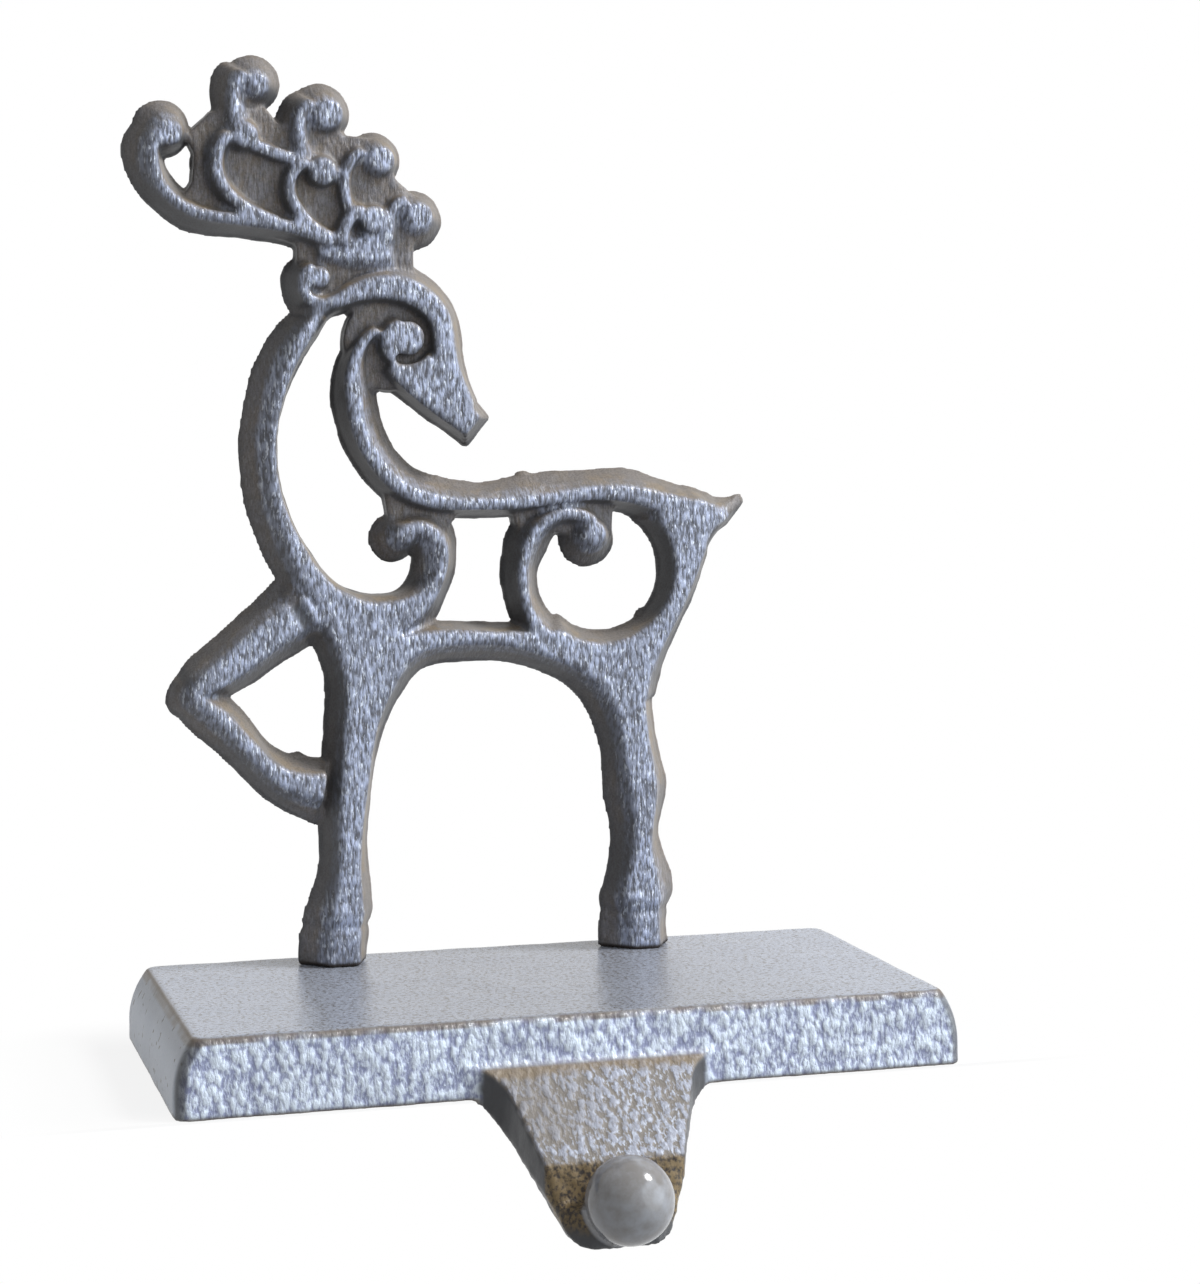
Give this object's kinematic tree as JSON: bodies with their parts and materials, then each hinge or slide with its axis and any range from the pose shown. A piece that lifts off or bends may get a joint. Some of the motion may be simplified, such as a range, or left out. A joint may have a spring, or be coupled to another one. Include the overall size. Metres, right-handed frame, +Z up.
{
  "type": "mantel stocking holder",
  "caption": "Cast iron mantel stocking holder: a scrolled openwork deer with a raised foreleg on a flat base that rests on a shelf, with a front hook ending in a ball.",
  "frame": {"origin": "centre of the base's underside, where it rests on the shelf", "axes": "+X along the shelf to the right as seen from the front, -Y to the front where the hook hangs, +Z up"},
  "size_m": [0.141, 0.0971, 0.2006],
  "materials": {
    "figure_casting": "dark grey lacquered casting with a pebbled skin and a bronze tint in its recesses",
    "base_casting": "grey lacquered casting, smooth on top and pebbled on its front face",
    "screw_steel": "zinc plated"
  },
  "bodies": {
    "root": {"deer_figure": "figure_casting", "base_with_hook": "base_casting", "figure_screws": "screw_steel"}
  },
  "joints": []
}
